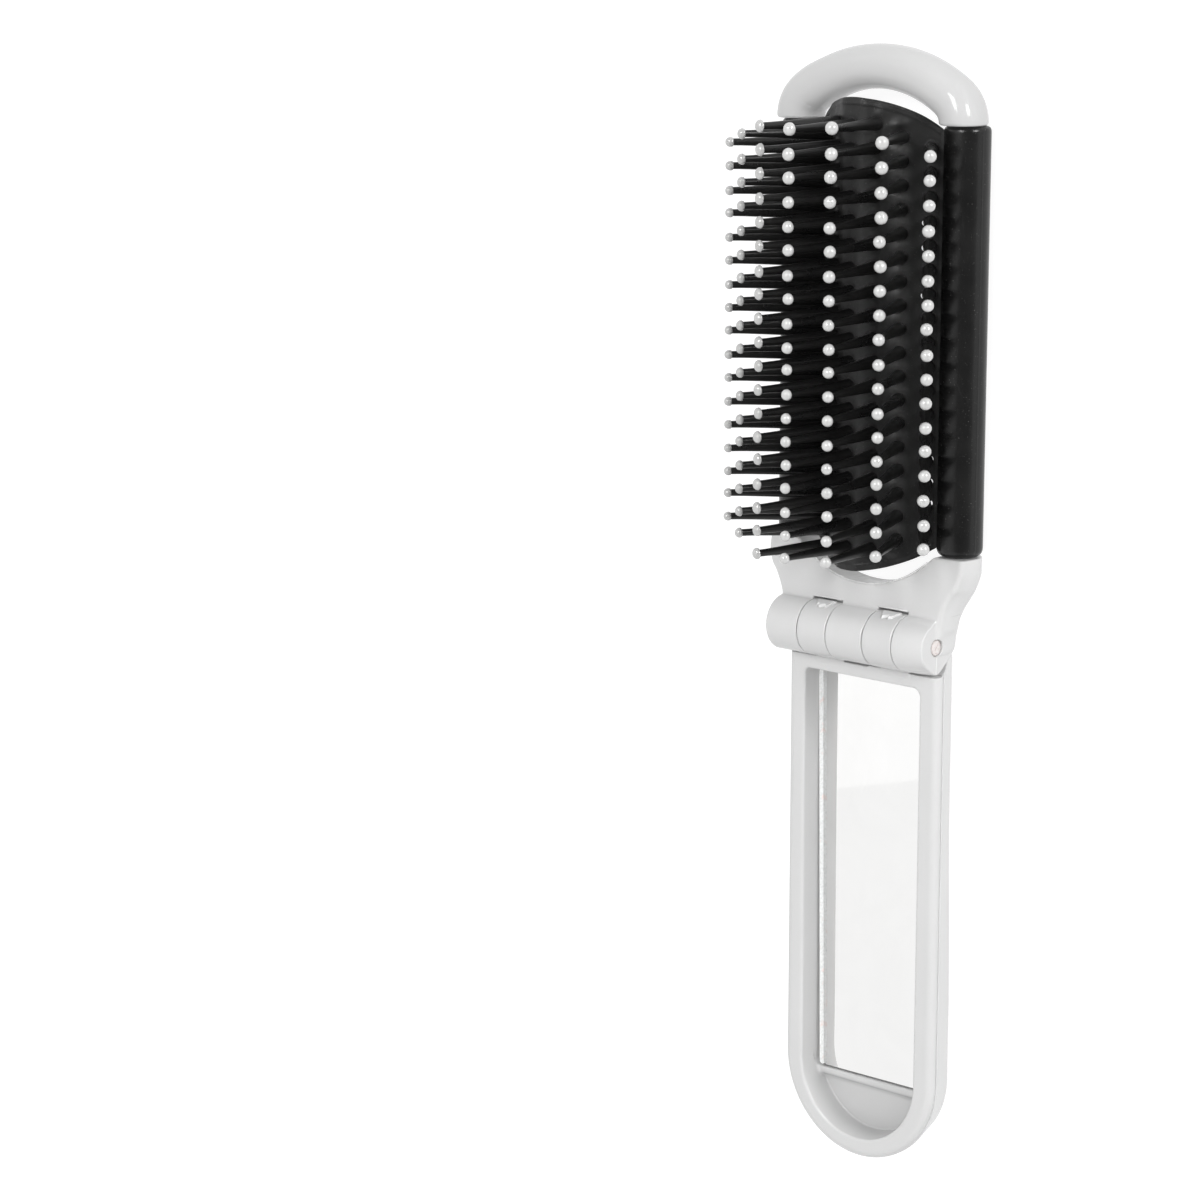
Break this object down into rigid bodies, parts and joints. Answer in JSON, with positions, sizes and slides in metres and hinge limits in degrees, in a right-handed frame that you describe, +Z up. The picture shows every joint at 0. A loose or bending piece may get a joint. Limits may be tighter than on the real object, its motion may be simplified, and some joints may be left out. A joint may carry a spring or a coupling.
{
  "type": "folding hairbrush with mirror",
  "caption": "Pocket hairbrush on a framed head with a hang arch, whose handle holds a mirror and folds over the bristles about a barrel hinge.",
  "frame": {"origin": "middle of the footprint of the open brush, on the surface that it lies on", "axes": "+Y along the brush from the handle to the head, +Z up towards the bristles and the mirror side, +X to the right"},
  "size_m": [0.046, 0.2037, 0.0314],
  "materials": {
    "head_plastic": "light grey-white moulded plastic, glossy",
    "handle_plastic": "white moulded plastic, glossy",
    "black_rubber": "satin soft black",
    "black_bristle": "satin soft black pad and pins",
    "ball_tip": "pale grey-white, glossy",
    "pin_steel": "knurled end, bright",
    "mirror_glass": "silvered glass",
    "adhesive": "adhesive sheet, matt"
  },
  "bodies": {
    "head": {"yoke": "head_plastic", "arch_frame": "head_plastic", "sleeve_left": "black_rubber", "sleeve_right": "black_rubber", "hinge_pin": "pin_steel"},
    "handle": {"handle_tray": "handle_plastic", "handle_cover": "handle_plastic", "mirror": "mirror_glass", "mirror_backing": "adhesive"},
    "row_a": {"bristle_row_a": "black_bristle", "tips_row_a": "ball_tip"},
    "row_b": {"bristle_row_b": "black_bristle", "tips_row_b": "ball_tip"},
    "row_c": {"bristle_row_c": "black_bristle", "tips_row_c": "ball_tip"},
    "row_d": {"bristle_row_d": "black_bristle", "tips_row_d": "ball_tip"},
    "row_e": {"bristle_row_e": "black_bristle", "tips_row_e": "ball_tip"},
    "row_f": {"bristle_row_f": "black_bristle", "tips_row_f": "ball_tip"},
    "row_g": {"bristle_row_g": "black_bristle", "tips_row_g": "ball_tip"}
  },
  "joints": [
    {"name": "handle_fold", "type": "hinge", "parent": "head", "child": "handle", "pos_m": [0, -0.00293, 0.0092], "axis": [-1, 0, 0], "range_deg": [0, 180]},
    {"name": "row_d_retract", "type": "slide", "parent": "head", "child": "row_d", "axis": [0, 0, -1], "range_m": [0, 0.0179]},
    {"name": "row_e_retract", "type": "hinge", "parent": "head", "child": "row_e", "pos_m": [0.06242, 0.05, 0.00612], "axis": [0, -1, 0], "range_deg": [0, 16.32]},
    {"name": "row_f_retract", "type": "hinge", "parent": "head", "child": "row_f", "pos_m": [0.03349, 0.05, 0.00522], "axis": [0, -1, 0], "range_deg": [0, 31.28]},
    {"name": "row_g_retract", "type": "hinge", "parent": "head", "child": "row_g", "pos_m": [0.02502, 0.05, 0.00281], "axis": [0, -1, 0], "range_deg": [0, 46.65]},
    {"name": "row_c_retract", "type": "hinge", "parent": "head", "child": "row_c", "pos_m": [-0.06242, 0.05, 0.00612], "axis": [0, 1, 0], "range_deg": [0, 16.32]},
    {"name": "row_b_retract", "type": "hinge", "parent": "head", "child": "row_b", "pos_m": [-0.03349, 0.05, 0.00522], "axis": [0, 1, 0], "range_deg": [0, 31.28]},
    {"name": "row_a_retract", "type": "hinge", "parent": "head", "child": "row_a", "pos_m": [-0.02502, 0.05, 0.00281], "axis": [0, 1, 0], "range_deg": [0, 46.65]}
  ],
  "couplings": [
    {"joint": "row_d_retract", "follows": "handle_fold", "m_per_rad": 0.0056659},
    {"joint": "row_e_retract", "follows": "handle_fold", "ratio": 0.090111},
    {"joint": "row_f_retract", "follows": "handle_fold", "ratio": 0.17322},
    {"joint": "row_g_retract", "follows": "handle_fold", "ratio": 0.25861},
    {"joint": "row_c_retract", "follows": "handle_fold", "ratio": 0.090111},
    {"joint": "row_b_retract", "follows": "handle_fold", "ratio": 0.17322},
    {"joint": "row_a_retract", "follows": "handle_fold", "ratio": 0.25861}
  ]
}
